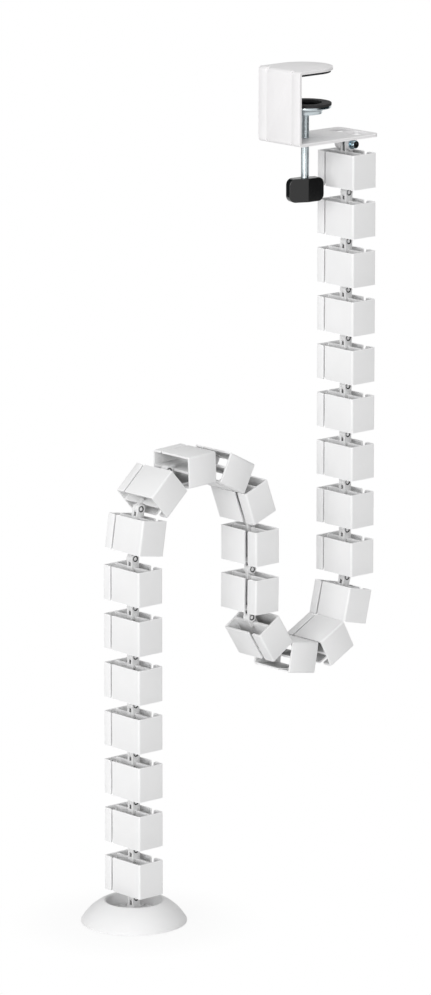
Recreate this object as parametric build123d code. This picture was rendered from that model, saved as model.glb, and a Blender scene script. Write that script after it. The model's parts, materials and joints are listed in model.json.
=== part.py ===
"""Cable spine for a height-adjustable desk: a desk clamp, a chain of 27 links and a weighted base.

Frame: millimetres, +Z up. The origin lies on the screw axis, in the underside of the jaw pad, where
the top of the desk is. +X runs from the clamp's back plate to the chain and the hinge axes lie along Y.
The chain is posed as it hangs when the desk is low: down, through a bend, up, over an arch and down.
"""

import os
from math import cos, radians, sin

from build123d import *

# Links
LINK_WIDTH = 52.7
LINK_DEPTH = 31.3
LINK_HEIGHT = 34.6
LINK_WALL = 1.8
LINK_CORNER = 2.0
CHANNEL_CORNER = 0.8
WEB_THICKNESS = 2.2
SAME_PLACE = 0.01

# Slots where cables are pressed into the links, and what is left of the wall beyond each slot
FRONT_SLOT_GAP = 2.3
FRONT_SLOT_STUB = 10.2
REAR_SLOT_GAP = 4.7
REAR_SLOT_STUB = 12.5
STUB_RIM_RADIUS = 1.9
WALL_RIM_RADIUS = 0.8

# Snap hinge between two links: a tongue with two stub pins clicks between two ears
EAR_THICKNESS = 2.25
EAR_WIDTH = 8.8
EAR_RADIUS = 4.8
EAR_REACH = 8.3
EAR_SLOT_DEPTH = 7.2
TONGUE_REACH = 6.1
TONGUE_THICKNESS = 3.0
HINGE_SIDE_CLEARANCE = 0.15
HINGE_TIP_CLEARANCE = 0.7
HINGE_BORE_RADIUS = 2.6
HINGE_PIN_CLEARANCE = 0.06
PIN_END_RECESS = 1.0
PIN_RAMP_HEIGHT = 2.2
PIN_RAMP_LENGTH = 1.1
LUG_ROOT = 4.0

# Angle at which each link hangs: 0 is straight down, 90 is level and toward the back plate
FRONT_COLUMN_ANGLES = (0.0,) * 9
LOWER_BEND_ANGLES = (13.1, 62.3, 99.9, 147.4)
MIDDLE_COLUMN_ANGLES = (180.9, 179.6)
UPPER_BEND_ANGLES = (159.8, 117.6, 87.6, 48.1, 9.0)
LAST_COLUMN_ANGLES = (0.0,) * 7

# Clamp bracket, one folded sheet
SHEET = 3.0
BRACKET_WIDTH = 59.6
JAW_OPENING = 66.0
BEND_RADIUS = 1.0
BACK_PLATE_TO_SCREW = 35.1
TOP_FLANGE_LENGTH = 61.3
BOTTOM_FLANGE_LENGTH = 108.3
BOTTOM_FLANGE_CORNER = 7.0
CABLE_HOLE_SIZE = 18.6
CABLE_HOLE_CORNER = 4.0
CABLE_HOLE_SPACING = 23.8
CABLE_HOLE_RIM = 5.7
GUSSET_SPACING = 36.0
GUSSET_WIDTH = 4.0
GUSSET_LEG = 4.5
GUSSET_DENT = 0.5

# Jaw pad
JAW_PAD_THICKNESS = 2.4
JAW_PAD_INSET = 2.0

# Hanger fork under the bracket, and its bolt, washer and nut
HANGER_TO_FLANGE_END = 17.0
HANGER_DROP = 8.4
HANGER_BRIDGE = 2.4
HANGER_LUG_RADIUS = 6.5
HANGER_LUG = 3.55
HANGER_NUT_LUG = 7.1
HANGER_SIDE_CLEARANCE = 0.2
BOLT_RADIUS = 2.5
BOLT_HOLE_CLEARANCE = 0.1
BOLT_HEAD_RADIUS = 4.0
BOLT_HEAD_LENGTH = 5.0
BOLT_HEAD_CHAMFER = 0.4
BOLT_SOCKET_FLATS = 4.0
BOLT_SOCKET_DEPTH = 2.5
BOLT_SOCKET_MOUTH_RADIUS = 2.7
BOLT_SOCKET_MOUTH_DEPTH = 0.5
WASHER_RADIUS = 5.0
WASHER_THICKNESS = 1.0
NUT_FLATS = 8.0
NUT_THICKNESS = 4.0
NUT_POCKET_DEPTH = 3.0
NUT_POCKET_CLEARANCE = 0.1

# Clamp screw, pad and wing knob
SCREW_RADIUS = 4.0
SCREW_CLEARANCE = 0.08
PAD_GAP = 30.6
RIVET_NECK_RADIUS = 3.0
RIVET_HEAD_RADIUS = 5.5
RIVET_HEAD_THICKNESS = 1.6
RIVET_CLEARANCE = 0.08
RIVET_PLAY = 0.2
PAD_RING_RADIUS = 26.0
PAD_RING_HOLE = 16.4
PAD_RING_THICKNESS = 2.6
CUP_SHEET = 1.5
CUP_RIM_RADIUS = 25.6
CUP_RIM_DEPTH = 2.6
CUP_SHOULDER_RADIUS = 20.5
CUP_CONE_RADIUS = 18.2
CUP_CONE_DEPTH = 5.0
CUP_FLOOR_RADIUS = 16.8
CUP_DEPTH = 8.4
KNOB_DROP = 36.8
KNOB_HEIGHT = 23.6
KNOB_HALF_LENGTH = 19.1
KNOB_CENTRE_THICKNESS = 15.8
KNOB_END_THICKNESS = 8.4
KNOB_END_RADIUS = 6.5
KNOB_EDGE_RADIUS = 1.0
KNOB_TURN = -15.0
SCREW_IN_KNOB = 18.0

# Base
BASE_HINGE_HEIGHT = 24.6
BASE_RADIUS = 52.2
BASE_RIM_TOP = 2.4
BASE_SHOULDER_INSET = 8.2
BASE_SHOULDER_HEIGHT = 13.1
BASE_CREST_INSET = 21.7
BASE_CREST_HEIGHT = 22.4
BASE_LIP_WIDTH = 3.0
BASE_LIP_DROP = 2.2
BASE_LIP_RADIUS = 2.4
BASE_WELL_TAPER = 3.0
BASE_WELL_HEIGHT = 11.0
BASE_WALL = 2.4
BASE_STEP_INSET = 3.5
BASE_STEP_HEIGHT = 1.2
BASE_RIB_COUNT = 8
BASE_RIB_WIDTH = 1.6
BASE_RIB_START = 8.5
BASE_FOOT_FLARE = 2.2
WEIGHT_INSET = 10.3
WEIGHT_RING_WIDTH = 24.5
WEIGHT_CLEARANCE = 0.2
PLATE_THICKNESS = 1.8
PLATE_CLEARANCE = 0.2
FOOT_COUNT = 4
FOOT_RADIUS = 6.0
FOOT_RECESS = 0.8
FOOT_CLEARANCE = 0.2
FOOT_INSET = 20.2
FLOOR_CLEARANCE = 0.9
SCREW_POST_COUNT = 4
SCREW_POST_INSET = 6.8
SCREW_POST_RADIUS = 2.6
BASE_SCREW_RADIUS = 1.1
BASE_SCREW_LENGTH = 7.0
BASE_SCREW_END_ROOM = 0.5
BASE_SCREW_HEAD_RADIUS = 2.2
BASE_SCREW_HEAD = 0.9
BASE_SCREW_CLEARANCE = 0.1

# Derived sizes and levels
PITCH = EAR_REACH + LINK_HEIGHT + TONGUE_REACH
FALLING_ANGLES = FRONT_COLUMN_ANGLES + LOWER_BEND_ANGLES
HEADINGS = FALLING_ANGLES + MIDDLE_COLUMN_ANGLES + UPPER_BEND_ANGLES + LAST_COLUMN_ANGLES
CHAIN_TO_SCREW = BOTTOM_FLANGE_LENGTH - BACK_PLATE_TO_SCREW - HANGER_TO_FLANGE_END
FRONT_STUB_EDGE = LINK_WIDTH / 2 - FRONT_SLOT_STUB
FRONT_WALL_EDGE = FRONT_STUB_EDGE - FRONT_SLOT_GAP
REAR_STUB_EDGE = REAR_SLOT_STUB - LINK_WIDTH / 2
REAR_WALL_EDGE = REAR_STUB_EDGE + REAR_SLOT_GAP
SLOT_WIDTH = TONGUE_THICKNESS + 2 * HINGE_SIDE_CLEARANCE
EAR_SPAN = SLOT_WIDTH + 2 * EAR_THICKNESS
PIN_SPAN = EAR_SPAN - 2 * PIN_END_RECESS
PIN_RADIUS = HINGE_BORE_RADIUS - HINGE_PIN_CLEARANCE
FLANGE_TOP = -JAW_OPENING
FLANGE_UNDERSIDE = FLANGE_TOP - SHEET
TOP_FLANGE_UNDERSIDE = JAW_PAD_THICKNESS
BRACKET_TOP = TOP_FLANGE_UNDERSIDE + SHEET
BACK_FACE = -BACK_PLATE_TO_SCREW
HINGE_LEVEL = FLANGE_UNDERSIDE - HANGER_DROP
HANGER_INSIDE = EAR_SPAN / 2 + HANGER_SIDE_CLEARANCE
BOLT_HEAD_FACE = -(HANGER_INSIDE + HANGER_LUG + WASHER_THICKNESS)
NUT_FACE = HANGER_INSIDE + HANGER_NUT_LUG - NUT_POCKET_DEPTH
PAD_TOP = -PAD_GAP
CUP_TOP = PAD_TOP - PAD_RING_THICKNESS
CUP_BOTTOM = CUP_TOP - CUP_DEPTH
CUP_FLOOR = CUP_BOTTOM + CUP_SHEET
KNOB_TOP = FLANGE_UNDERSIDE - KNOB_DROP
PLATE_BOTTOM = FLOOR_CLEARANCE
PLATE_TOP = PLATE_BOTTOM + PLATE_THICKNESS
INNER_BASE_RADIUS = BASE_RADIUS - BASE_WALL
BASE_SHOULDER_RADIUS = BASE_RADIUS - BASE_SHOULDER_INSET
BASE_CREST_RADIUS = BASE_RADIUS - BASE_CREST_INSET
BASE_MOUTH_RADIUS = BASE_CREST_RADIUS - BASE_LIP_WIDTH
BASE_MOUTH_HEIGHT = BASE_CREST_HEIGHT - BASE_LIP_DROP
BASE_WELL_RADIUS = BASE_MOUTH_RADIUS - BASE_WELL_TAPER
BASE_STEP_RADIUS = BASE_WELL_RADIUS - BASE_STEP_INSET
WEIGHT_OUTER_RADIUS = INNER_BASE_RADIUS - WEIGHT_INSET
WEIGHT_INNER_RADIUS = WEIGHT_OUTER_RADIUS - WEIGHT_RING_WIDTH
FOOT_CIRCLE = BASE_RADIUS - FOOT_INSET
SCREW_POST_CIRCLE = INNER_BASE_RADIUS - SCREW_POST_INSET


def chain_hinges():
    """Return the hinge points (x, z) from the hanger bolt to the base."""
    x, z = CHAIN_TO_SCREW, HINGE_LEVEL
    points = [(x, z)]
    for heading in HEADINGS:
        x -= PITCH * sin(radians(heading))
        z -= PITCH * cos(radians(heading))
        points.append((x, z))
    return points


def cylinder_y(radius, start, end):
    """A cylinder around the Y axis between two Y values."""
    return extrude(Plane.XZ.offset(-start) * Circle(radius), start - end)


def lug(width, bottom, top_radius, y_start, y_end):
    """A flat lug in the XZ plane: straight sides up to the hinge axis and a round top."""
    outline = Circle(top_radius) + Pos(0, bottom / 2) * Rectangle(width, -bottom)
    return extrude(Plane.XZ.offset(-y_start) * outline, y_start - y_end)


def hinge_ears(root):
    """Two ears around the Y axis on a solid foot that reaches down to root."""
    block = lug(EAR_WIDTH, root, EAR_RADIUS, -EAR_SPAN / 2, EAR_SPAN / 2)
    slot_height = EAR_SLOT_DEPTH + EAR_RADIUS + HINGE_TIP_CLEARANCE
    slot = Pos(0, 0, slot_height / 2 - EAR_SLOT_DEPTH) * Box(EAR_WIDTH * 2, SLOT_WIDTH, slot_height)
    return block - slot - cylinder_y(HINGE_BORE_RADIUS, -EAR_SPAN, EAR_SPAN)


def hinge_tongue():
    """The tongue with its two stub pins, with the pin axis on the Y axis and the root above it."""
    root = TONGUE_REACH + LUG_ROOT
    blade = lug(EAR_WIDTH, -root, EAR_RADIUS, -TONGUE_THICKNESS / 2, TONGUE_THICKNESS / 2)
    blade = blade.rotate(Axis.Y, 180)
    return blade + stub_pins()


def stub_pins():
    """Both stub pins, with a ramp under each end that spreads the ears when the hinge is clicked in."""
    end = PIN_SPAN / 2
    ramp = Polygon(
        (end, PIN_RAMP_HEIGHT - PIN_RADIUS),
        (end, -PIN_RADIUS),
        (end - PIN_RAMP_LENGTH, -PIN_RADIUS),
        align=None,
    )
    ramp = extrude(Plane.YZ * ramp, PIN_RADIUS, both=True)
    return cylinder_y(PIN_RADIUS, -end, end) - ramp - ramp.mirror(Plane.XZ)


def link_plan():
    """Plan of a link: an outer wall, a web across the middle and a slot in each long wall."""
    outside = RectangleRounded(LINK_DEPTH, LINK_WIDTH, LINK_CORNER)
    channel_depth = (LINK_DEPTH - WEB_THICKNESS) / 2 - LINK_WALL
    channel_x = WEB_THICKNESS / 2 + channel_depth / 2
    channel = RectangleRounded(channel_depth, LINK_WIDTH - 2 * LINK_WALL, CHANNEL_CORNER)
    wall_x = (LINK_DEPTH - LINK_WALL) / 2
    front_slot = Rectangle(LINK_WALL * 2, FRONT_SLOT_GAP)
    rear_slot = Rectangle(LINK_WALL * 2, REAR_SLOT_GAP)
    plan = outside - Pos(-channel_x, 0) * channel - Pos(channel_x, 0) * channel
    plan -= Pos(-wall_x, (FRONT_STUB_EDGE + FRONT_WALL_EDGE) / 2) * front_slot
    plan -= Pos(wall_x, (REAR_STUB_EDGE + REAR_WALL_EDGE) / 2) * rear_slot
    return plan


def slot_rims(box, side, edge_y):
    """Rim edges where one face of a slot meets the top and bottom of the wall on one side."""
    across = box.edges().filter_by(Axis.X).filter_by(lambda edge: edge.center().X * side > 0)
    return across.filter_by(lambda edge: abs(edge.center().Y - edge_y) < SAME_PLACE)


def make_link():
    """One moulded link hanging straight down, with its ears around the origin."""
    box = extrude(link_plan(), -LINK_HEIGHT)
    stub_rims = slot_rims(box, -1, FRONT_STUB_EDGE) + slot_rims(box, 1, REAR_STUB_EDGE)
    box = fillet(stub_rims, STUB_RIM_RADIUS)
    wall_rims = slot_rims(box, -1, FRONT_WALL_EDGE) + slot_rims(box, 1, REAR_WALL_EDGE)
    box = Pos(0, 0, -EAR_REACH) * fillet(wall_rims, WALL_RIM_RADIUS)
    ears = hinge_ears(-(EAR_REACH + LUG_ROOT))
    return box + ears + Pos(0, 0, -PITCH) * hinge_tongue()


def flange_outline(length, corner):
    """Plan of a flange that starts at the back face and ends with rounded corners."""
    straight = Pos(BACK_FACE + length / 2, 0) * Rectangle(length, BRACKET_WIDTH)
    return fillet(straight.vertices().group_by(Axis.X)[-1], corner)


def jaw_outline(inset):
    """D-shaped plan of the top flange, drawn in from its edge by inset."""
    radius = BRACKET_WIDTH / 2 - inset
    centre_x = BACK_FACE + TOP_FLANGE_LENGTH - BRACKET_WIDTH / 2
    start_x = BACK_FACE + (SHEET + BEND_RADIUS + inset if inset else SHEET)
    length = centre_x - start_x
    nose = Circle(radius) & Pos(radius / 2, 0) * Rectangle(radius, 2 * radius)
    return Pos(centre_x, 0) * nose + Pos(start_x + length / 2, 0) * Rectangle(length, 2 * radius)


def folded_sheet():
    """Back plate with a short run of both flanges and the two bends between them."""
    run = SHEET + 2 * BEND_RADIUS
    height = BRACKET_TOP - FLANGE_UNDERSIDE
    middle = (BRACKET_TOP + FLANGE_UNDERSIDE) / 2
    outer = Pos(BACK_FACE + run / 2, middle) * Rectangle(run, height)
    outer = fillet(outer.vertices().group_by(Axis.X)[0], BEND_RADIUS + SHEET)
    inner = Pos(BACK_FACE + SHEET + run / 2, middle) * Rectangle(run, height - 2 * SHEET)
    inner = fillet(inner.vertices().group_by(Axis.X)[0], BEND_RADIUS)
    return extrude(Plane.XZ * (outer - inner), BRACKET_WIDTH / 2, both=True)


def gusset(level, direction):
    """A pressed stiffening rib inside a bend and the dent that it leaves outside, as two solids."""
    inner_x = BACK_FACE + SHEET
    inner_z = level - direction * SHEET
    foot = SHEET / 2
    rib = Polygon(
        (inner_x - foot, inner_z + direction * foot),
        (inner_x + GUSSET_LEG, inner_z + direction * foot),
        (inner_x + GUSSET_LEG, inner_z),
        (inner_x, inner_z - direction * GUSSET_LEG),
        (inner_x - foot, inner_z - direction * GUSSET_LEG),
        align=None,
    )
    reach = BEND_RADIUS + SHEET + GUSSET_DENT
    dent = Polygon(
        (BACK_FACE, level),
        (BACK_FACE + reach, level),
        (BACK_FACE, level - direction * reach),
        align=None,
    )
    rib = extrude(Plane.XZ * rib, GUSSET_WIDTH / 2, both=True)
    return rib, extrude(Plane.XZ * dent, GUSSET_WIDTH / 4, both=True)


def make_bracket():
    """The folded clamp bracket with its screw hole, cable holes and pressed gussets."""
    top = extrude(Pos(0, 0, TOP_FLANGE_UNDERSIDE) * jaw_outline(0), SHEET)
    bottom_run = BOTTOM_FLANGE_LENGTH - 2 * BEND_RADIUS - SHEET
    bottom = flange_outline(BOTTOM_FLANGE_LENGTH, BOTTOM_FLANGE_CORNER)
    keep = Pos(BACK_FACE + BOTTOM_FLANGE_LENGTH - bottom_run / 2, 0) * Rectangle(bottom_run, BRACKET_WIDTH)
    top_keep_x = BACK_FACE + SHEET + 2 * BEND_RADIUS + TOP_FLANGE_LENGTH / 2
    top_keep = Pos(top_keep_x, 0, BRACKET_TOP) * Box(TOP_FLANGE_LENGTH, BRACKET_WIDTH, JAW_OPENING)
    bottom = extrude(Pos(0, 0, FLANGE_UNDERSIDE) * (bottom & keep), SHEET)
    bracket = folded_sheet() + (top & top_keep) + bottom
    for side in (-1, 1):
        for level, direction in ((BRACKET_TOP, 1), (FLANGE_UNDERSIDE, -1)):
            rib, dent = gusset(level, direction)
            place = Pos(0, side * GUSSET_SPACING / 2, 0)
            bracket = bracket + place * rib - place * dent
        hole = RectangleRounded(CABLE_HOLE_SIZE, CABLE_HOLE_SIZE, CABLE_HOLE_CORNER)
        hole_x = BACK_FACE + BOTTOM_FLANGE_LENGTH - CABLE_HOLE_RIM - CABLE_HOLE_SIZE / 2
        hole_place = Pos(hole_x, side * CABLE_HOLE_SPACING / 2, FLANGE_TOP)
        bracket -= hole_place * extrude(hole, SHEET * 2, both=True)
    screw_hole = Pos(0, 0, FLANGE_TOP) * Cylinder(SCREW_RADIUS + SCREW_CLEARANCE, SHEET * 4)
    return bracket - screw_hole


def make_hanger():
    """The fork under the bracket: a bridge, a plain lug and a thicker lug with a pocket for the nut."""
    near = -(HANGER_INSIDE + HANGER_LUG)
    far = HANGER_INSIDE + HANGER_NUT_LUG
    body = lug(2 * HANGER_LUG_RADIUS, -HANGER_DROP, HANGER_LUG_RADIUS, near, far)
    body = body.rotate(Axis.Y, 180)
    room = Pos(0, 0, -HANGER_BRIDGE) * Box(4 * HANGER_LUG_RADIUS, 2 * HANGER_INSIDE, 2 * HANGER_DROP)
    bore = cylinder_y(BOLT_RADIUS + BOLT_HOLE_CLEARANCE, 2 * near, 2 * far)
    pocket = RegularPolygon(NUT_FLATS / 2 + NUT_POCKET_CLEARANCE, 6, major_radius=False)
    pocket = extrude(Plane.XZ.offset(-NUT_FACE) * pocket, -NUT_POCKET_DEPTH * 2)
    return at_hanger(body - room - bore - pocket)


def at_hanger(shape):
    """Move a shape from the origin to the hanger's bolt axis."""
    return Pos(CHAIN_TO_SCREW, 0, HINGE_LEVEL) * shape


def make_bolt():
    """Socket-head bolt through the hanger and the ears of the first link."""
    head = cylinder_y(BOLT_HEAD_RADIUS, BOLT_HEAD_FACE - BOLT_HEAD_LENGTH, BOLT_HEAD_FACE)
    head = chamfer(head.edges().group_by(Axis.Y)[0], BOLT_HEAD_CHAMFER)
    socket = RegularPolygon(BOLT_SOCKET_FLATS / 2, 6, major_radius=False)
    outer_face = Plane.XZ.offset(BOLT_HEAD_LENGTH - BOLT_HEAD_FACE)
    socket = extrude(outer_face * socket, -BOLT_SOCKET_DEPTH)
    mouth = Cone(BOLT_SOCKET_FLATS / 2, BOLT_SOCKET_MOUTH_RADIUS, BOLT_SOCKET_MOUTH_DEPTH)
    mouth = outer_face * Pos(0, 0, -BOLT_SOCKET_MOUTH_DEPTH / 2) * mouth
    shank = cylinder_y(BOLT_RADIUS, BOLT_HEAD_FACE, NUT_FACE + NUT_THICKNESS)
    return at_hanger(head - socket - mouth + shank)


def make_washer():
    """Flat washer under the bolt head."""
    disc = cylinder_y(WASHER_RADIUS, BOLT_HEAD_FACE, BOLT_HEAD_FACE + WASHER_THICKNESS)
    return at_hanger(disc - cylinder_y(BOLT_RADIUS, BOLT_HEAD_FACE, 0))


def make_nut():
    """Hexagon nut in the pocket of the hanger."""
    outline = RegularPolygon(NUT_FLATS / 2, 6, major_radius=False) - Circle(BOLT_RADIUS)
    return at_hanger(extrude(Plane.XZ.offset(-NUT_FACE) * outline, -NUT_THICKNESS))


def make_jaw_pad():
    """Soft pad under the top flange, notched around the two gussets."""
    outline = jaw_outline(JAW_PAD_INSET)
    notch = 2 * (SHEET + GUSSET_LEG + JAW_PAD_INSET / 2)
    for side in (-1, 1):
        gap = GUSSET_WIDTH + JAW_PAD_INSET
        outline -= Pos(BACK_FACE, side * GUSSET_SPACING / 2) * Rectangle(notch, gap)
    return extrude(outline, JAW_PAD_THICKNESS)


def revolve_profile(*points):
    """Revolve a closed (radius, z) outline around the Z axis."""
    outline = Plane.XZ * make_face(Polyline(*points, close=True))
    return revolve(outline, Axis.Z)


def make_cup():
    """Pressed pad cup: a turned-down rim, a cone and a flat floor with the hole for the rivet neck."""
    wall = CUP_SHEET
    rim_z = CUP_TOP
    cup = revolve_profile(
        (CUP_RIM_RADIUS, rim_z - CUP_RIM_DEPTH),
        (CUP_RIM_RADIUS, rim_z),
        (CUP_SHOULDER_RADIUS - wall, rim_z),
        (CUP_FLOOR_RADIUS - wall, rim_z - CUP_CONE_DEPTH + wall),
        (CUP_FLOOR_RADIUS - wall, CUP_FLOOR),
        (RIVET_NECK_RADIUS + RIVET_CLEARANCE, CUP_FLOOR),
        (RIVET_NECK_RADIUS + RIVET_CLEARANCE, CUP_BOTTOM),
        (CUP_FLOOR_RADIUS, CUP_BOTTOM),
        (CUP_FLOOR_RADIUS, rim_z - CUP_CONE_DEPTH),
        (CUP_CONE_RADIUS, rim_z - CUP_CONE_DEPTH),
        (CUP_SHOULDER_RADIUS, rim_z - wall),
        (CUP_RIM_RADIUS - wall, rim_z - wall),
        (CUP_RIM_RADIUS - wall, rim_z - CUP_RIM_DEPTH),
    )
    return cup


def make_pad_ring():
    """Soft ring on the pad cup."""
    ring = extrude(Circle(PAD_RING_RADIUS) - Circle(PAD_RING_HOLE), PAD_RING_THICKNESS)
    ring = fillet(ring.edges().group_by(Axis.Z)[-1], PAD_RING_THICKNESS / 4)
    return Pos(0, 0, CUP_TOP) * ring


def make_screw():
    """Clamp screw: a threaded rod with a riveted neck and head that trap the pad cup."""
    shoulder = CUP_BOTTOM - RIVET_PLAY / 2
    head_underside = CUP_FLOOR + RIVET_PLAY / 2
    rod_end = KNOB_TOP - SCREW_IN_KNOB
    rod = Pos(0, 0, rod_end) * extrude(Circle(SCREW_RADIUS), shoulder - rod_end)
    neck = Pos(0, 0, shoulder) * extrude(Circle(RIVET_NECK_RADIUS), head_underside - shoulder)
    head = extrude(Circle(RIVET_HEAD_RADIUS), RIVET_HEAD_THICKNESS)
    head = chamfer(head.edges().group_by(Axis.Z)[-1], RIVET_HEAD_THICKNESS / 2)
    return rod + neck + Pos(0, 0, head_underside) * head


def is_knob_end(edge):
    """True for the rim edges of the two rounded ends of the knob."""
    return abs(abs(edge.center().Y) - KNOB_END_THICKNESS / 2) < KNOB_EDGE_RADIUS and edge.length < KNOB_HEIGHT


def make_knob():
    """Wing knob: tapers from a thick middle to two rounded ends, with a blind hole for the rod."""
    ends = KNOB_END_THICKNESS / 2
    middle = KNOB_CENTRE_THICKNESS / 2
    plan = Polygon(
        (-KNOB_HALF_LENGTH, -ends),
        (0, -middle),
        (KNOB_HALF_LENGTH, -ends),
        (KNOB_HALF_LENGTH, ends),
        (0, middle),
        (-KNOB_HALF_LENGTH, ends),
        align=None,
    )
    side = RectangleRounded(2 * KNOB_HALF_LENGTH, KNOB_HEIGHT, KNOB_END_RADIUS)
    knob = extrude(plan, -KNOB_HEIGHT)
    knob &= extrude(Plane.XZ * (Pos(0, -KNOB_HEIGHT / 2) * side), KNOB_CENTRE_THICKNESS, both=True)
    knob = fillet(knob.edges().filter_by(is_knob_end), KNOB_EDGE_RADIUS)
    hole = Pos(0, 0, -SCREW_IN_KNOB) * extrude(Circle(SCREW_RADIUS), SCREW_IN_KNOB)
    return Pos(0, 0, KNOB_TOP) * (knob - hole).rotate(Axis.Z, KNOB_TURN)


def dome_arc():
    """Outer curve of the base from its rim over the shoulder to the crest."""
    return ThreePointArc(
        (BASE_RADIUS, BASE_RIM_TOP),
        (BASE_SHOULDER_RADIUS, BASE_SHOULDER_HEIGHT),
        (BASE_CREST_RADIUS, BASE_CREST_HEIGHT),
    )


def base_profile():
    """Section of the base moulding from the outer rim over the crest into the well."""
    dome = dome_arc()
    shoulder = dome @ 0.5
    inner_shoulder = shoulder + (dome.arc_center - shoulder).normalized() * BASE_WALL
    inner_crest = (BASE_CREST_RADIUS, BASE_CREST_HEIGHT - BASE_WALL)
    inner_rim = (INNER_BASE_RADIUS, BASE_RIM_TOP)
    mouth = (BASE_MOUTH_RADIUS, BASE_MOUTH_HEIGHT)
    well_under = BASE_WELL_HEIGHT - BASE_WALL
    section = [
        dome,
        RadiusArc((BASE_CREST_RADIUS, BASE_CREST_HEIGHT), mouth, -BASE_LIP_RADIUS),
        Polyline(
            mouth,
            (BASE_WELL_RADIUS, BASE_WELL_HEIGHT),
            (0, BASE_WELL_HEIGHT),
            (0, well_under),
            (BASE_WELL_RADIUS + BASE_WALL, well_under),
            inner_crest,
        ),
        ThreePointArc(inner_crest, inner_shoulder, inner_rim),
        Polyline(
            inner_rim,
            (INNER_BASE_RADIUS, FLOOR_CLEARANCE),
            (BASE_RADIUS, FLOOR_CLEARANCE),
            (BASE_RADIUS, BASE_RIM_TOP),
        ),
    ]
    return Plane.XZ * make_face(Curve() + section)


def screw_posts():
    """Posts that grow from the bottom plate up into the dome, with a blind hole for each screw."""
    under_dome = Polyline(
        (BASE_CREST_RADIUS, BASE_CREST_HEIGHT),
        (0, BASE_CREST_HEIGHT),
        (0, PLATE_TOP),
        (BASE_RADIUS, PLATE_TOP),
        (BASE_RADIUS, BASE_RIM_TOP),
    )
    room = revolve(Plane.XZ * make_face(Curve() + [dome_arc(), under_dome]), Axis.Z)
    bore_end = PLATE_BOTTOM + BASE_SCREW_LENGTH + BASE_SCREW_END_ROOM
    post = extrude(Circle(SCREW_POST_RADIUS), BASE_CREST_HEIGHT)
    bore = extrude(Circle(BASE_SCREW_RADIUS), bore_end)
    places = ring_of(SCREW_POST_COUNT, SCREW_POST_CIRCLE)
    return [(place * post & room) - place * bore for place in places]


def make_base():
    """Base moulding: a dome ring around a well, with the last fork, a step ring and ribs in the well."""
    shell = revolve(base_profile(), Axis.Z)
    well = Pos(0, 0, BASE_WELL_HEIGHT)
    fork_root = BASE_WELL_HEIGHT - BASE_HINGE_HEIGHT - BASE_WALL / 2
    fork = Pos(0, 0, BASE_HINGE_HEIGHT) * hinge_ears(fork_root)
    foot_height = BASE_HINGE_HEIGHT - EAR_SLOT_DEPTH - BASE_WELL_HEIGHT
    foot_bottom = Rectangle(EAR_WIDTH + 2 * BASE_FOOT_FLARE, EAR_SPAN + 2 * BASE_FOOT_FLARE)
    foot = loft([well * foot_bottom, Pos(0, 0, foot_height) * well * Rectangle(EAR_WIDTH, EAR_SPAN)])
    step = Circle(BASE_STEP_RADIUS + BASE_RIB_WIDTH) - Circle(BASE_STEP_RADIUS)
    shell = shell + fork + foot + well * extrude(step, BASE_STEP_HEIGHT)
    rib_length = BASE_STEP_RADIUS - BASE_RIB_START
    rib = extrude(Rectangle(rib_length, BASE_RIB_WIDTH), BASE_STEP_HEIGHT)
    for place in ring_of(BASE_RIB_COUNT, BASE_RIB_START + rib_length / 2):
        shell += well * place * rib
    for post in screw_posts():
        shell += post
    return shell


def ring_of(count, radius):
    """Places spread evenly on a circle, halfway between the axes."""
    return PolarLocations(radius, count, start_angle=180 / count)


def make_weight():
    """Steel ring that keeps the base down."""
    ring = Circle(WEIGHT_OUTER_RADIUS) - Circle(WEIGHT_INNER_RADIUS)
    room = BASE_WELL_HEIGHT - BASE_WALL - PLATE_TOP
    return Pos(0, 0, PLATE_TOP) * extrude(ring, room - WEIGHT_CLEARANCE)


def make_plate():
    """Bottom plate of the base, with countersinks for its screws and recesses for its feet."""
    plate = extrude(Circle(INNER_BASE_RADIUS - PLATE_CLEARANCE), PLATE_THICKNESS)
    bore = Cylinder(BASE_SCREW_RADIUS + BASE_SCREW_CLEARANCE, 2 * PLATE_THICKNESS)
    sink = Cylinder(BASE_SCREW_HEAD_RADIUS + BASE_SCREW_CLEARANCE, 2 * BASE_SCREW_HEAD)
    for place in ring_of(SCREW_POST_COUNT, SCREW_POST_CIRCLE):
        plate -= place * bore + place * sink
    for place in ring_of(FOOT_COUNT, FOOT_CIRCLE):
        plate -= place * Cylinder(FOOT_RADIUS + FOOT_CLEARANCE, 2 * FOOT_RECESS)
    return Pos(0, 0, PLATE_BOTTOM) * plate


def make_feet():
    """Soft feet set into the bottom plate."""
    foot = extrude(Circle(FOOT_RADIUS), FLOOR_CLEARANCE + FOOT_RECESS)
    return Compound(children=[place * foot for place in ring_of(FOOT_COUNT, FOOT_CIRCLE)])


def make_base_screws():
    """Screws that hold the bottom plate to the posts inside the base."""
    head = extrude(Circle(BASE_SCREW_HEAD_RADIUS), BASE_SCREW_HEAD)
    shank = extrude(Circle(BASE_SCREW_RADIUS - BASE_SCREW_CLEARANCE / 2), BASE_SCREW_LENGTH)
    screw = Pos(0, 0, PLATE_BOTTOM) * (head + shank)
    return Compound(children=[place * screw for place in ring_of(SCREW_POST_COUNT, SCREW_POST_CIRCLE)])


hinges = chain_hinges()
link = make_link()
base_x, last_hinge_z = hinges[-1]
base_place = Pos(base_x, 0, last_hinge_z - BASE_HINGE_HEIGHT)

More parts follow.
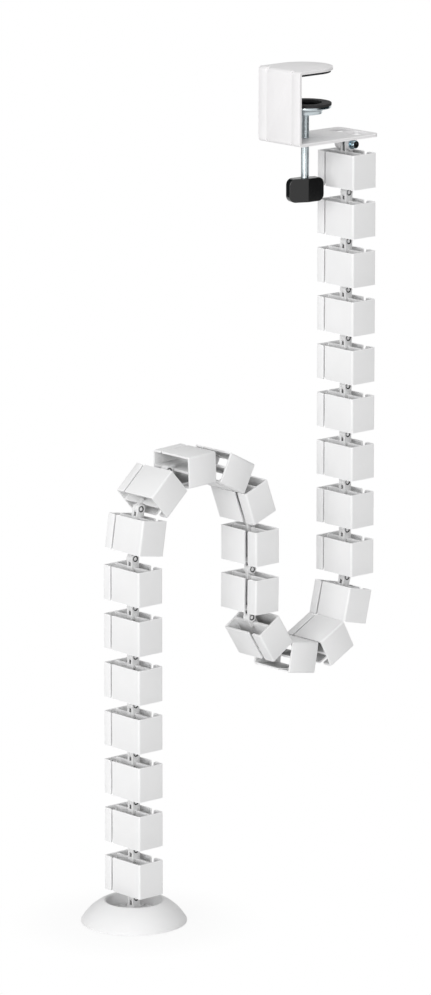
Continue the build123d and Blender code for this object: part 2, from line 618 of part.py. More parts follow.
nodes = {
    "clamp_bracket": make_bracket(),
    "jaw_pad": make_jaw_pad(),
    "hanger_fork": make_hanger(),
    "hinge_bolt": make_bolt(),
    "hinge_washer": make_washer(),
    "hinge_nut": make_nut(),
    "pad_cup": make_cup(),
    "pad_ring": make_pad_ring(),
    "clamp_screw": make_screw(),
    "wing_knob": make_knob(),
    "base_cover": base_place * make_base(),
    "base_weight": base_place * make_weight(),
    "base_plate": base_place * make_plate(),
    "base_feet": base_place * make_feet(),
    "base_screws": base_place * make_base_screws(),
}
for number, (heading, (hinge_x, hinge_z)) in enumerate(zip(HEADINGS, hinges), start=1):
    nodes[f"link_{number:02d}"] = Pos(hinge_x, 0, hinge_z) * Rot(0, heading, 0) * link

os.makedirs("parts", exist_ok=True)
for name, shape in nodes.items():
    export_step(shape, f"parts/{name}.step")
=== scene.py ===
"""Looks of the cable spine: materials, softened edges, thread, pin ends, bolt cap, studio and camera.

Everything is in metres, in the part's own frame: +Z up, +X from the clamp's back plate to the chain,
with the origin on the clamp screw's axis. Sizes that are used with MM are in millimetres.
"""

import json
import math

import bmesh
import bpy
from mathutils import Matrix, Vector

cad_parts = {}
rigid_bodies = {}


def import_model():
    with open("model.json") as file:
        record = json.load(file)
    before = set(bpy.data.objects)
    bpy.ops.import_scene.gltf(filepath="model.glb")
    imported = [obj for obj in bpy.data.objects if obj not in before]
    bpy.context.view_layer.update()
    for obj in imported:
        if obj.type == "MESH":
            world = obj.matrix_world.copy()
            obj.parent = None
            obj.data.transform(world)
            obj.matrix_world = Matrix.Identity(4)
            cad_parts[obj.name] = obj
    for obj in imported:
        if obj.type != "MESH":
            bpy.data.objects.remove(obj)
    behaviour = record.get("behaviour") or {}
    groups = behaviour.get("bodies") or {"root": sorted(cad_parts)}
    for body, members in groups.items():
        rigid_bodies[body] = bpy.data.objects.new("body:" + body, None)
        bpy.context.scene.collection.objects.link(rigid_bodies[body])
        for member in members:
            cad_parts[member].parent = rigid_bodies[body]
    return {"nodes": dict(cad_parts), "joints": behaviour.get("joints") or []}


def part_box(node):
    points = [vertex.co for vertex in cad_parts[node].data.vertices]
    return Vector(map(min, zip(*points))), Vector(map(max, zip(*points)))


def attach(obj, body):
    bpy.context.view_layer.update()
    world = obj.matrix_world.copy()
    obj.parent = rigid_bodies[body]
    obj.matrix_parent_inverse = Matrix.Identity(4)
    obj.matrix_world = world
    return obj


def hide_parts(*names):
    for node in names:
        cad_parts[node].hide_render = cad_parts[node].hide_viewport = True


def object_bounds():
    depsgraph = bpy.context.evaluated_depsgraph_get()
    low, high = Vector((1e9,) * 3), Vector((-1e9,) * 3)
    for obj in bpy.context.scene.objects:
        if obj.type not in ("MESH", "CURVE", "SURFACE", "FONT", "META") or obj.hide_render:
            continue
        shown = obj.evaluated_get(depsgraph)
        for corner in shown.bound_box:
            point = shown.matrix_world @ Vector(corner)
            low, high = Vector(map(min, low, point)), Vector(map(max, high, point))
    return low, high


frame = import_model()
cad_low, cad_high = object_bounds()

MM = 0.001

# Camera, fitted to the corners of the links in the photograph
IMAGE_LONG_SIDE = 995
FOCAL_PIXELS = 5814.0
SENSOR_WIDTH = 36.0
CAMERA_AZIMUTH = math.radians(-41.79)
CAMERA_ELEVATION = math.radians(12.57)
CAMERA_DISTANCE = 5.717
AIM_FROM_FIRST_HINGE = Vector((-0.1744, 0.0, -0.3337))
CLIP_START = 0.1
CLIP_END = 100.0

# Colours
OPAQUE_WHITE = (1.0, 1.0, 1.0, 1.0)
WHITE = (0.825, 0.825, 0.827)
COAT = (0.82, 0.81, 0.815)
ZINC = (0.57, 0.63, 0.655)
BOLT_ZINC = (0.42, 0.54, 0.60)
KNOB_BLACK = (0.006, 0.006, 0.0062)
# Painted shade in the gap round each pin end
GAP_SHADE_BLACK = (0.012, 0.012, 0.013)
RUBBER_BLACK = (0.018, 0.018, 0.019)
CARD_BLACK = (0.004, 0.014, 0.018)
MILL_SCALE = (0.10, 0.10, 0.11)
WORN_STEEL = (0.24, 0.24, 0.25)

# Depth of the surface grains in millimetres
PLASTIC_GRAIN = 0.06
COAT_PEEL = 0.05
ZINC_STREAK = 0.03
RUBBER_PORE = 0.08
STEEL_SCALE = 0.10

# Edge softening
EDGE_ANGLE = 34.0
EDGE_SEGMENTS = 2
SMOOTH_ANGLE = 38.0
KNOB_SMOOTH_ANGLE = 15.0
WELD_DISTANCE = 0.00001

# Painted shade in the creases and hollows of the plastic: how far away the walls that close them in may
# be, how dark the colour gets where less than CLOSED_BELOW is open, and the open share that leaves it
# full
AO_SAMPLES = 8
CLOSED_BELOW = 0.03
CREASE_REACH = 0.007
CREASE_DARKEST = 0.15
CREASE_OPEN = 0.48
HOLLOW_REACH = 0.034
HOLLOW_DARKEST = 0.05
HOLLOW_OPEN = 0.25
BASE_HOLLOW_DARKEST = 0.9

# Painted highlights along the outer edges of the plastic and the coat
RIM_REACH = 0.0012
RIM_HIGHLIGHT_GAIN = 1.20
RIM_FROM = 0.62
RIM_TO = 0.90

# Threaded rod and its riveted end
ROD_RADIUS = 4.0
ROD_SEGMENTS = 40
RIVET_NECK_RADIUS = 3.0
RIVET_HEAD_THICKNESS = 1.6
RIVET_PLAY = 0.2
THREAD_PITCH = 1.25
THREAD_DEPTH = 0.16
THREAD_ROOT_SHARE = 0.08
THREAD_FLANK_SHARE = 0.80
THREAD_STEPS = 8

# Turned pieces: the hole left at their axis, and the share of a rounding by which its middle point
# lies inside the corner
PIN_SEGMENTS = 32
AXIS_HOLE_RADIUS = 0.02
ROUNDING_MIDDLE = 0.3

# Ends of the hinge pins: a black ring painted as the shade in the gap, around a bright domed tip
EAR_FACE = 3.90
PIN_END = 2.90
GAP_OUTER_RADIUS = 3.10
GAP_INNER_RADIUS = 2.30
GAP_LIFT = 0.05
TIP_RADIUS = 2.10
TIP_SINK = 0.20
TIP_ROUNDING = 0.45

# Black cap painted as the shade in the socket of the hinge bolt, dished in the middle
CAP_RADIUS = 3.3
CAP_DEPTH = 0.4
CAP_CROWN = 0.35
CAP_DISH_RADIUS = 1.485
CAP_DISH_FLOOR_RADIUS = 0.99
CAP_DISH_DEPTH = 0.175
CAP_DISH_SLOPE = 0.035

# Light
WORLD_HORIZON = 0.58
WORLD_ZENITH = 0.84
WORLD_IN_REFLECTIONS = 1.0
DIM_SIDE = Vector((0.80, 0.60, 0.0))
BRIGHT_SIDE_SHARE = 1.08
DIM_SIDE_SHARE = 0.62
KEY_STRENGTH = 1.90
KEY_DIRECTION = Vector((-0.88, -0.46, 0.175))
KEY_ANGLE = 40.0

# Floor, which is white outside the reach of the object's shadow
FLOOR_SIZE = 60.0
FLOOR_DROP = 0.0002
FLOOR_COLOUR = 0.88
FLOOR_ROUGHNESS = 0.9
FLOOR_GLOW_NEAR = 0.90
FLOOR_GLOW_FAR = 1.0
SHADOW_CORE = 0.049
SHADOW_REACH = 0.14

# Dark cards beside the camera's view, seen in reflections only; angles go round from the camera
CARD_DISTANCE = 1.5
CARD_FOOT = -0.55
CARD_TOP = 1.2
CARD_STEPS = 24
RIGHT_CARD = (54.0, 134.0)
LEFT_CARD = (-165.0, -108.0)


def set_inputs(node, **values):
    """Set a node's inputs by name, with _ for a space."""
    for key, value in values.items():
        node.inputs[key.replace("_", " ")].default_value = value


def add(tree, kind, **values):
    """A new node of that kind with its inputs set by name."""
    node = tree.nodes.new(kind)
    set_inputs(node, **values)
    return node


def new_material(name):
    """A new material with its node tree and its shader."""
    material = bpy.data.materials.new(name)
    material.use_nodes = True
    tree = material.node_tree
    return material, tree, tree.nodes["Principled BSDF"]


def object_coordinates(tree):
    """The Object output of a texture coordinate node."""
    return tree.nodes.new("ShaderNodeTexCoord").outputs["Object"]


def noise(tree, coordinates, scale, detail=3.0, roughness=0.55):
    """Noise with that many features per metre."""
    node = add(tree, "ShaderNodeTexNoise", Scale=scale, Detail=detail, Roughness=roughness)
    tree.links.new(coordinates, node.inputs["Vector"])
    return node.outputs["Fac"]


def ramp(tree, level, dark, light, dark_to=0.30, light_from=0.70):
    """Colour that goes from dark to light while level goes from dark_to to light_from."""
    node = tree.nodes.new("ShaderNodeValToRGB")
    first, last = node.color_ramp.elements
    first.position = dark_to
    first.color = (*dark, 1.0)
    last.position = light_from
    last.color = (*light, 1.0)
    tree.links.new(level, node.inputs["Fac"])
    return node.outputs["Color"]


def remap(tree, level, low, high, start=0.0, stop=1.0):
    """Value that goes from low to high while level goes from start to stop."""
    node = add(tree, "ShaderNodeMapRange", From_Min=start, From_Max=stop, To_Min=low, To_Max=high)
    tree.links.new(level, node.inputs["Value"])
    return node.outputs["Result"]


def combine(tree, operation, first, second):
    """Result of a maths operation on two outputs."""
    node = tree.nodes.new("ShaderNodeMath")
    node.operation = operation
    tree.links.new(first, node.inputs[0])
    tree.links.new(second, node.inputs[1])
    return node.outputs[0]


def bump(tree, shader, height, strength, depth):
    """Bump on the shader from a height, depth millimetres deep at full strength."""
    node = add(tree, "ShaderNodeBump", Strength=strength, Distance=depth * MM)
    tree.links.new(height, node.inputs["Height"])
    tree.links.new(node.outputs["Normal"], shader.inputs["Normal"])


def paint_crease_shade(tree, colour, reach, darkest, open_from):
    """Painted shade: darken a colour where walls within reach close it in, down to darkest of itself."""
    closeness = add(tree, "ShaderNodeAmbientOcclusion", Distance=reach)
    closeness.samples = AO_SAMPLES
    kept = ramp(tree, closeness.outputs["AO"], (darkest,) * 3, (1.0,) * 3, CLOSED_BELOW, open_from)
    mix = tree.nodes.new("ShaderNodeMix")
    mix.data_type = "RGBA"
    mix.blend_type = "MULTIPLY"
    mix.inputs["Factor"].default_value = 1.0
    tree.links.new(colour, mix.inputs["A"])
    tree.links.new(kept, mix.inputs["B"])
    return mix.outputs["Result"]


def paint_rim_highlight(tree, colour):
    """Painted highlight: lighten a colour near outer edges."""
    depth = add(tree, "ShaderNodeAmbientOcclusion", Distance=RIM_REACH)
    depth.samples = AO_SAMPLES
    depth.inside = True
    gain = remap(tree, depth.outputs["AO"], RIM_HIGHLIGHT_GAIN, 1.0, RIM_FROM, RIM_TO)
    scaled = tree.nodes.new("ShaderNodeVectorMath")
    scaled.operation = "SCALE"
    tree.links.new(colour, scaled.inputs[0])
    tree.links.new(gain, scaled.inputs["Scale"])
    return scaled.outputs["Vector"]


def tint(colour, factor):
    """A colour scaled by factor."""
    return tuple(min(1.0, channel * factor) for channel in colour)


def moulded_plastic(
    name,
    colour,
    roughness,
    grain,
    grain_scale,
    gloss_level=0.42,
    hollow=HOLLOW_DARKEST,
    sheen=0.0,
    rims=False,
):
    """Moulded plastic: faint colour drift, painted shade in creases and hollows, painted highlights on
    the rims if asked, fine spark-eroded grain and uneven gloss.
    """
    material, tree, shader = new_material(name)
    coordinates = object_coordinates(tree)
    drift = noise(tree, coordinates, scale=18.0)
    base = ramp(tree, drift, tint(colour, 0.975), tint(colour, 1.015))
    # Painted shade in the creases, then in the deeper hollows
    base = paint_crease_shade(tree, base, CREASE_REACH, CREASE_DARKEST, CREASE_OPEN)
    base = paint_crease_shade(tree, base, HOLLOW_REACH, hollow, HOLLOW_OPEN)
    # Painted highlights along the outer edges
    if rims:
        base = paint_rim_highlight(tree, base)
    tree.links.new(base, shader.inputs["Base Color"])
    gloss = remap(tree, noise(tree, coordinates, scale=240.0), roughness - 0.05, roughness + 0.06)
    tree.links.new(gloss, shader.inputs["Roughness"])
    fine_grain = noise(tree, coordinates, grain_scale, detail=4.0, roughness=0.6)
    bump(tree, shader, fine_grain, strength=grain, depth=PLASTIC_GRAIN)
    set_inputs(shader, Specular_IOR_Level=gloss_level, Sheen_Weight=sheen)
    return material


def powder_coat(name, colour):
    """Powder coat: fine orange peel under a satin film, with painted highlights on the edges."""
    material, tree, shader = new_material(name)
    coordinates = object_coordinates(tree)
    base = ramp(tree, noise(tree, coordinates, scale=26.0), tint(colour, 0.98), tint(colour, 1.01))
    # Painted highlights on the edges of the coat
    tree.links.new(paint_rim_highlight(tree, base), shader.inputs["Base Color"])
    gloss = remap(tree, noise(tree, coordinates, scale=420.0), low=0.36, high=0.48)
    tree.links.new(gloss, shader.inputs["Roughness"])
    peel = noise(tree, coordinates, scale=1300.0, detail=2.0, roughness=0.5)
    bump(tree, shader, peel, strength=0.35, depth=COAT_PEEL)
    set_inputs(shader, Specular_IOR_Level=0.45)
    return material


def zinc(name, colour, roughness, stretch):
    """Bright zinc plating: bluish, with streaks along one axis and faint clouding."""
    material, tree, shader = new_material(name)
    coordinates = object_coordinates(tree)
    mapping = add(tree, "ShaderNodeMapping", Scale=stretch)
    tree.links.new(coordinates, mapping.inputs["Vector"])
    streaks = noise(tree, mapping.outputs["Vector"], scale=900.0, detail=4.0, roughness=0.6)
    clouds = noise(tree, coordinates, scale=120.0)
    base = ramp(tree, clouds, tint(colour, 0.82), tint(colour, 1.12), dark_to=0.25, light_from=0.75)
    tree.links.new(base, shader.inputs["Base Color"])
    gloss = remap(tree, streaks, roughness - 0.08, roughness + 0.10)
    tree.links.new(gloss, shader.inputs["Roughness"])
    bump(tree, shader, streaks, strength=0.25, depth=ZINC_STREAK)
    set_inputs(shader, Metallic=1.0)
    return material


def rubber(name, colour):
    """Black rubber: rough, with fine pores and dusty high spots."""
    material, tree, shader = new_material(name)
    coordinates = object_coordinates(tree)
    pores = noise(tree, coordinates, scale=1500.0, roughness=0.6)
    dust = noise(tree, coordinates, scale=60.0, detail=4.0, roughness=0.6)
    base = ramp(tree, dust, colour, tint(colour, 1.7), dark_to=0.35, light_from=0.75)
    tree.links.new(base, shader.inputs["Base Color"])
    tree.links.new(remap(tree, pores, low=0.62, high=0.86), shader.inputs["Roughness"])
    bump(tree, shader, pores, strength=0.5, depth=RUBBER_PORE)
    set_inputs(shader, Specular_IOR_Level=0.35)
    return material


def dark_steel(name):
    """Bare weight ring: mill scale with worn grey patches."""
    material, tree, shader = new_material(name)
    scale = noise(tree, object_coordinates(tree), scale=90.0, detail=5.0, roughness=0.65)
    base = ramp(tree, scale, MILL_SCALE, WORN_STEEL, dark_to=0.35)
    tree.links.new(base, shader.inputs["Base Color"])
    tree.links.new(remap(tree, scale, low=0.45, high=0.70), shader.inputs["Roughness"])
    bump(tree, shader, scale, strength=0.3, depth=STEEL_SCALE)
    set_inputs(shader, Metallic=0.8)
    return material


def black_felt(name, colour):
    """Felt of the studio cards: almost black, with a fibrous nap and no gloss."""
    material, tree, shader = new_material(name)
    nap = noise(tree, object_coordinates(tree), scale=60.0, detail=4.0, roughness=0.6)
    base = ramp(tree, nap, tint(colour, 0.8), tint(colour, 1.2))
    tree.links.new(base, shader.inputs["Base Color"])
    set_inputs(shader, Roughness=1.0, Specular_IOR_Level=0.0)
    return material


def smoothing_group(name, sharp_angle):
    """Geometry nodes that shade a mesh smooth except across edges sharper than sharp_angle."""
    group = bpy.data.node_groups.new(name, "GeometryNodeTree")
    for direction in ("INPUT", "OUTPUT"):
        group.interface.new_socket("Geometry", in_out=direction, socket_type="NodeSocketGeometry")
    start = group.nodes.new("NodeGroupInput")
    end = group.nodes.new("NodeGroupOutput")
    smooth = group.nodes.new("GeometryNodeSetShadeSmooth")
    smooth.domain = "FACE"
    sharpen = group.nodes.new("GeometryNodeSetShadeSmooth")
    sharpen.domain = "EDGE"
    sharpen.inputs["Shade Smooth"].default_value = False
    angle = group.nodes.new("GeometryNodeInputMeshEdgeAngle")
    limit = group.nodes.new("FunctionNodeCompare")
    limit.data_type = "FLOAT"
    limit.operation = "GREATER_THAN"
    limit.inputs["B"].default_value = math.radians(sharp_angle)
    group.links.new(start.outputs["Geometry"], smooth.inputs["Geometry"])
    group.links.new(smooth.outputs["Geometry"], sharpen.inputs["Geometry"])
    group.links.new(angle.outputs["Unsigned Angle"], limit.inputs["A"])
    group.links.new(limit.outputs["Result"], sharpen.inputs["Selection"])
    group.links.new(sharpen.outputs["Geometry"], end.inputs["Geometry"])
    return group


def soften(piece, width, group):
    """Round an object's sharp edges by width, unless that is 0, and shade its curved faces smooth."""
    weld = piece.modifiers.new("weld", "WELD")
    weld.merge_threshold = WELD_DISTANCE
    if width:
        edge = piece.modifiers.new("edge", "BEVEL")
        edge.width = width
        edge.segments = EDGE_SEGMENTS
        edge.limit_method = "ANGLE"
        edge.angle_limit = math.radians(EDGE_ANGLE)
        edge.use_clamp_overlap = True
        edge.miter_outer = "MITER_ARC"
    smooth = piece.modifiers.new("smooth", "NODES")
    smooth.node_group = group


def dress(piece, material):
    """Give an object one material."""
    piece.data.materials.clear()
    piece.data.materials.append(material)


def new_object(name, mesh_maker):
    """A new object whose mesh is filled by mesh_maker."""
    mesh = bpy.data.meshes.new(name)
    build = bmesh.new()
    mesh_maker(build)
    bmesh.ops.recalc_face_normals(build, faces=build.faces)
    build.to_mesh(mesh)
    build.free()
    piece = bpy.data.objects.new(name, mesh)
    bpy.context.scene.collection.objects.link(piece)
    return piece


def skin_loops(build, loops):
    """Smooth faces between closed loops of vertices, each loop to the next."""
    for near, far in zip(loops, loops[1:]):
        for index in range(len(near)):
            after = (index + 1) % len(near)
            face = build.faces.new((near[index], near[after], far[after], far[index]))
            face.smooth = True


def turned_about_y(name, centre, side, profile):
    """A ring turned about the Y axis through centre from points of radius and distance to that side."""
    def shape(build):
        loops = []
        for radius, out in profile:
            loop = []
            for index in range(PIN_SEGMENTS):
                angle = 2 * math.pi * index / PIN_SEGMENTS
                offset = Vector((radius * math.cos(angle), side * out, radius * math.sin(angle)))
                loop.append(build.verts.new(centre + offset * MM))
            loops.append(loop)
        skin_loops(build, loops)

    return new_object(name, shape)


def stacked_about_z(name, rows):
    """A closed body about the Z axis from rows, each with its radii round the axis and its height."""
    def shape(build):
        loops = []
        for radii, height in rows:
            loop = []
            for index, radius in enumerate(radii):
                angle = 2 * math.pi * index / len(radii)
                loop.append(build.verts.new((radius * math.cos(angle), radius * math.sin(angle), height)))
            loops.append(loop)
        skin_loops(build, loops)
        build.faces.new(loops[0])
        build.faces.new(loops[-1])

    return new_object(name, shape)


def thread_radii(height):
    """Radii round the threaded rod at one height."""
    radii = []
    for index in range(ROD_SEGMENTS):
        phase = (height / (THREAD_PITCH * MM) - index / ROD_SEGMENTS) % 1.0
        flank = abs(2.0 * phase - 1.0)
        crest = min(1.0, max(0.0, (flank - THREAD_ROOT_SHARE) / THREAD_FLANK_SHARE))
        radii.append((ROD_RADIUS - THREAD_DEPTH * (1.0 - crest)) * MM)
    return radii


def add_rod(material):
    """M8 rod in place of the plain one: a helical thread, then the neck and head riveted in the cup."""
    screw_low, screw_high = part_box("clamp_screw")
    cup_low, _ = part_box("pad_cup")
    neck_bottom = cup_low.z - RIVET_PLAY / 2 * MM
    head_bottom = screw_high.z - RIVET_HEAD_THICKNESS * MM
    head_radius = (screw_high.x - screw_low.x) / 2
    head_bevel = RIVET_HEAD_THICKNESS / 2 * MM
    step = THREAD_PITCH * MM / THREAD_STEPS
    heights = [screw_low.z + step * index for index in range(int((neck_bottom - screw_low.z) / step))]
    rows = [(thread_radii(height), height) for height in heights]
    for radius, height in (
        (ROD_RADIUS * MM, neck_bottom),
        (RIVET_NECK_RADIUS * MM, neck_bottom),
        (RIVET_NECK_RADIUS * MM, head_bottom),
        (head_radius, head_bottom),
        (head_radius, screw_high.z - head_bevel),
        (head_radius - head_bevel, screw_high.z),
    ):
        rows.append(([radius] * ROD_SEGMENTS, height))
    rod = stacked_about_z("threaded_rod", rows)
    dress(rod, material)
    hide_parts("clamp_screw")
    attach(rod, "clamp_screw")


def add_pin_ends(joints, gap_shade_material, tip_material):
    """Black ring painted as the shade in the gap, and a bright tip, at both ends of each hinge pin;
    hinge_00 turns on the bolt and has none.
    """
    gap_profile = [
        (GAP_OUTER_RADIUS, EAR_FACE - GAP_LIFT),
        (GAP_OUTER_RADIUS - GAP_LIFT, EAR_FACE + GAP_LIFT),
        (GAP_INNER_RADIUS, EAR_FACE + GAP_LIFT),
        (GAP_INNER_RADIUS, PIN_END + GAP_LIFT),
        (GAP_INNER_RADIUS + 2 * GAP_LIFT, PIN_END + GAP_LIFT),
        (GAP_OUTER_RADIUS, EAR_FACE - GAP_LIFT),
    ]
    tip_top = EAR_FACE - TIP_SINK
    tip_profile = [
        (AXIS_HOLE_RADIUS, PIN_END - GAP_LIFT),
        (TIP_RADIUS, PIN_END - GAP_LIFT),
        (TIP_RADIUS, tip_top - TIP_ROUNDING),
        (TIP_RADIUS - TIP_ROUNDING * ROUNDING_MIDDLE, tip_top - TIP_ROUNDING * ROUNDING_MIDDLE),
        (TIP_RADIUS - TIP_ROUNDING, tip_top),
        (AXIS_HOLE_RADIUS, tip_top - GAP_LIFT),
    ]
    for joint in joints:
        if not joint["name"].startswith("hinge_") or joint["name"] == "hinge_00":
            continue
        centre = joint_at[joint["name"]]
        for side, side_name in ((-1, "_near"), (1, "_far")):
            label = joint["name"] + side_name
            # Black ring that paints the shade in the gap
            gap = turned_about_y("pin_gap_" + label, centre, side, gap_profile)
            dress(gap, gap_shade_material)
            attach(gap, joint["child"])
            tip = turned_about_y("pin_tip_" + label, centre, side, tip_profile)
            dress(tip, tip_material)
            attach(tip, joint["parent"])


def add_bolt_socket_shade(material):
    """Black cap painted as the shade in the socket of the bolt through the first hinge."""
    bolt_low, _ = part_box("hinge_bolt")
    bolt_face = (first_hinge.y - bolt_low.y) / MM
    crown = bolt_face + CAP_CROWN
    cap_profile = [
        (CAP_RADIUS, bolt_face - CAP_DEPTH),
        (CAP_RADIUS, bolt_face),
        (CAP_RADIUS - CAP_CROWN * ROUNDING_MIDDLE, crown - CAP_CROWN * ROUNDING_MIDDLE),
        (CAP_RADIUS - CAP_CROWN, crown),
        (CAP_DISH_RADIUS, crown),
        (CAP_DISH_FLOOR_RADIUS, crown - CAP_DISH_DEPTH),
        (AXIS_HOLE_RADIUS, crown - CAP_DISH_DEPTH - CAP_DISH_SLOPE),
    ]
    # Black cap over the socket, painting its shade
    cap = turned_about_y("bolt_cap", first_hinge, -1, cap_profile)
    dress(cap, material)
    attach(cap, "bracket")


def seen_directly(tree):
    """1 for what the camera sees, directly, in a reflection or through glass, and 0 for diffuse light."""
    path = tree.nodes.new("ShaderNodeLightPath")
    seen = combine(tree, "MAXIMUM", path.outputs["Is Camera Ray"], path.outputs["Is Glossy Ray"])
    return combine(tree, "MAXIMUM", seen, path.outputs["Is Transmission Ray"])


def floor_material():
    """Pale floor that shows white far away and keeps the object's soft shadow near its base."""
    material, tree, shader = new_material("floor")
    set_inputs(shader, Base_Color=(FLOOR_COLOUR,) * 3 + (1.0,))
    set_inputs(shader, Roughness=FLOOR_ROUGHNESS, Specular_IOR_Level=0.0)
    glow = add(tree, "ShaderNodeEmission", Color=OPAQUE_WHITE)
    distance = tree.nodes.new("ShaderNodeVectorMath")
    distance.operation = "LENGTH"
    tree.links.new(object_coordinates(tree), distance.inputs[0])
    white_share = remap(
        tree, distance.outputs["Value"], FLOOR_GLOW_NEAR, FLOOR_GLOW_FAR, SHADOW_CORE, SHADOW_REACH
    )
    white_share.node.interpolation_type = "SMOOTHSTEP"
    mix = tree.nodes.new("ShaderNodeMixShader")
    tree.links.new(combine(tree, "MULTIPLY", seen_directly(tree), white_share), mix.inputs["Fac"])
    tree.links.new(shader.outputs["BSDF"], mix.inputs[1])
    tree.links.new(glow.outputs["Emission"], mix.inputs[2])
    tree.links.new(mix.outputs["Shader"], tree.nodes["Material Output"].inputs["Surface"])
    return material


def add_floor(centre):
    """Floor just under the object, centred on the base."""
    floor_place = (centre.x, centre.y, cad_low.z - FLOOR_DROP)
    bpy.ops.mesh.primitive_plane_add(size=FLOOR_SIZE, location=floor_place)
    floor = bpy.context.object
    floor.name = "floor"
    dress(floor, floor_material())


def light_world():
    """World that lights by height and side and shows plain white where it is seen or reflected."""
    world = bpy.data.worlds.new("studio")
    bpy.context.scene.world = world
    world.use_nodes = True
    tree = world.node_tree
    direction = tree.nodes.new("ShaderNodeTexCoord").outputs["Generated"]
    split = tree.nodes.new("ShaderNodeSeparateXYZ")
    tree.links.new(direction, split.inputs["Vector"])
    by_height = remap(tree, split.outputs["Z"], WORLD_HORIZON, WORLD_ZENITH)
    facing = tree.nodes.new("ShaderNodeVectorMath")
    facing.operation = "DOT_PRODUCT"
    facing.inputs[1].default_value = DIM_SIDE.normalized()
    tree.links.new(direction, facing.inputs[0])
    by_side = remap(tree, facing.outputs["Value"], BRIGHT_SIDE_SHARE, DIM_SIDE_SHARE, start=-1.0)
    strength = tree.nodes.new("ShaderNodeMix")
    strength.inputs["B"].default_value = WORLD_IN_REFLECTIONS
    tree.links.new(seen_directly(tree), strength.inputs["Factor"])
    tree.links.new(combine(tree, "MULTIPLY", by_height, by_side), strength.inputs["A"])
    background = tree.nodes["Background"]
    background.inputs["Color"].default_value = OPAQUE_WHITE
    tree.links.new(strength.outputs["Result"], background.inputs["Strength"])


def reflection_card(name, angles, material):
    """Upright dark card round the object between two angles from the camera, seen in reflections only."""
    to_camera = Vector((math.sin(CAMERA_AZIMUTH), -math.cos(CAMERA_AZIMUTH), 0.0))
    image_right = Vector((-to_camera.y, to_camera.x, 0.0))

    def shape(build):
        columns = []
        for step in range(CARD_STEPS + 1):
            angle = math.radians(angles[0] + (angles[1] - angles[0]) * step / CARD_STEPS)
            foot = (to_camera * math.cos(angle) + image_right * math.sin(angle)) * CARD_DISTANCE
            columns.append([build.verts.new((foot.x, foot.y, z)) for z in (CARD_FOOT, CARD_TOP)])
        for left, right in zip(columns, columns[1:]):
            build.faces.new((left[0], right[0], right[1], left[1]))

    card = new_object(name, shape)
    dress(card, material)
    card.visible_camera = False
    card.visible_diffuse = False
    card.visible_shadow = False
    card.visible_transmission = False


def add_key_light():
    """Broad key light from the left of the camera, a little above the horizon."""
    data = bpy.data.lights.new("key", "SUN")
    data.energy = KEY_STRENGTH
    data.angle = math.radians(KEY_ANGLE)
    key = bpy.data.objects.new("key", data)
    key.rotation_euler = KEY_DIRECTION.to_track_quat("Z", "Y").to_euler()
    bpy.context.scene.collection.objects.link(key)


def add_camera(aim):
    """Camera of the photograph, looking at aim."""
    data = bpy.data.cameras.new("camera")
    data.sensor_width = SENSOR_WIDTH
    data.lens = FOCAL_PIXELS / IMAGE_LONG_SIDE * SENSOR_WIDTH
    data.clip_start = CLIP_START
    data.clip_end = CLIP_END
    level_share = math.cos(CAMERA_ELEVATION)
    back = Vector(
        (
            math.sin(CAMERA_AZIMUTH) * level_share,
            -math.cos(CAMERA_AZIMUTH) * level_share,
            math.sin(CAMERA_ELEVATION),
        )
    )
    camera = bpy.data.objects.new("camera", data)
    camera.location = aim + back * CAMERA_DISTANCE
    camera.rotation_euler = (math.pi / 2 - CAMERA_ELEVATION, 0.0, CAMERA_AZIMUTH)
    bpy.context.scene.collection.objects.link(camera)
    bpy.context.scene.camera = camera


joint_at = {joint["name"]: Vector(joint.get("pos_m", (0, 0, 0))) for joint in frame["joints"]}
first_hinge = joint_at["hinge_00"]
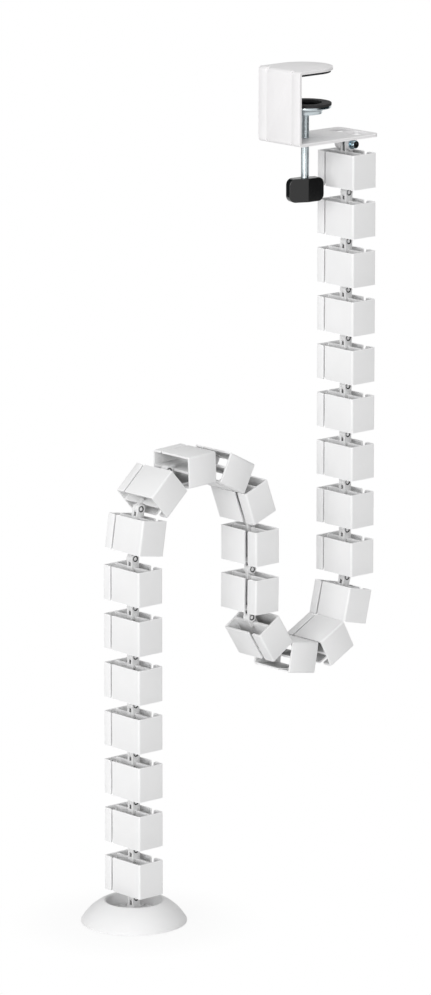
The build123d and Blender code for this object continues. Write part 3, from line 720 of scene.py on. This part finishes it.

# Materials
# Links with painted shade in their creases and painted highlights on their rims
link_plastic = moulded_plastic(
    "link_plastic", WHITE, roughness=0.46, grain=0.30, grain_scale=1100.0, rims=True
)
base_plastic = moulded_plastic(
    "base_plastic",
    WHITE,
    roughness=0.50,
    grain=0.22,
    grain_scale=900.0,
    gloss_level=0.20,
    hollow=BASE_HOLLOW_DARKEST,
    sheen=0.10,
)
coat = powder_coat("bracket_powder_coat", COAT)
zinc_rod = zinc("zinc_rod", ZINC, roughness=0.16, stretch=(1.0, 1.0, 0.15))
zinc_pressed = zinc("zinc_pressed", ZINC, roughness=0.22, stretch=(1.0, 1.0, 1.0))
zinc_bolt = zinc("zinc_bolt", BOLT_ZINC, roughness=0.14, stretch=(1.0, 0.2, 1.0))
knob_plastic = moulded_plastic(
    "knob_plastic", KNOB_BLACK, roughness=0.24, grain=0.45, grain_scale=1500.0, gloss_level=0.52
)
# Black plastic painted as the shade in the gap round the pin ends
pin_gap = moulded_plastic(
    "pin_gap", GAP_SHADE_BLACK, roughness=0.70, grain=0.40, grain_scale=1500.0, gloss_level=0.10
)
pad_rubber = rubber("pad_rubber", RUBBER_BLACK)
weight_steel = dark_steel("weight_steel")

# Material of each node and the width of its softened edges in millimetres; the rest are links
LINK_LOOK = (link_plastic, 0.30)
LOOKS = {
    "clamp_bracket": (coat, 0.45),
    "hanger_fork": (coat, 0.40),
    "jaw_pad": (pad_rubber, 0.30),
    "hinge_bolt": (zinc_bolt, 0.15),
    "hinge_washer": (zinc_bolt, 0.12),
    "hinge_nut": (zinc_bolt, 0.20),
    "pad_cup": (zinc_pressed, 0.35),
    "pad_ring": (pad_rubber, 0.30),
    "clamp_screw": (zinc_rod, 0.10),
    "wing_knob": (knob_plastic, 0.80),
    "base_cover": (base_plastic, 0.0),
    "base_weight": (weight_steel, 0.30),
    "base_plate": (base_plastic, 0.0),
    "base_feet": (pad_rubber, 0.30),
    "base_screws": (zinc_bolt, 0.10),
}
smoothing = smoothing_group("smooth_shading", SMOOTH_ANGLE)
knob_smoothing = smoothing_group("knob_shading", KNOB_SMOOTH_ANGLE)
for node_name, node in sorted(frame["nodes"].items()):
    look, edge_width = LOOKS.get(node_name, LINK_LOOK)
    dress(node, look)
    soften(node, edge_width * MM, knob_smoothing if node_name == "wing_knob" else smoothing)

# Pieces of the scene's own
add_rod(zinc_rod)
add_pin_ends(frame["joints"], pin_gap, link_plastic)
add_bolt_socket_shade(knob_plastic)

# Studio and camera
add_floor(joint_at["hinge_27"])
light_world()
card_felt = black_felt("card_felt", CARD_BLACK)
reflection_card("right_card", RIGHT_CARD, card_felt)
reflection_card("left_card", LEFT_CARD, card_felt)
add_key_light()
add_camera(first_hinge + AIM_FROM_FIRST_HINGE)
bpy.context.scene.view_settings.view_transform = "Standard"
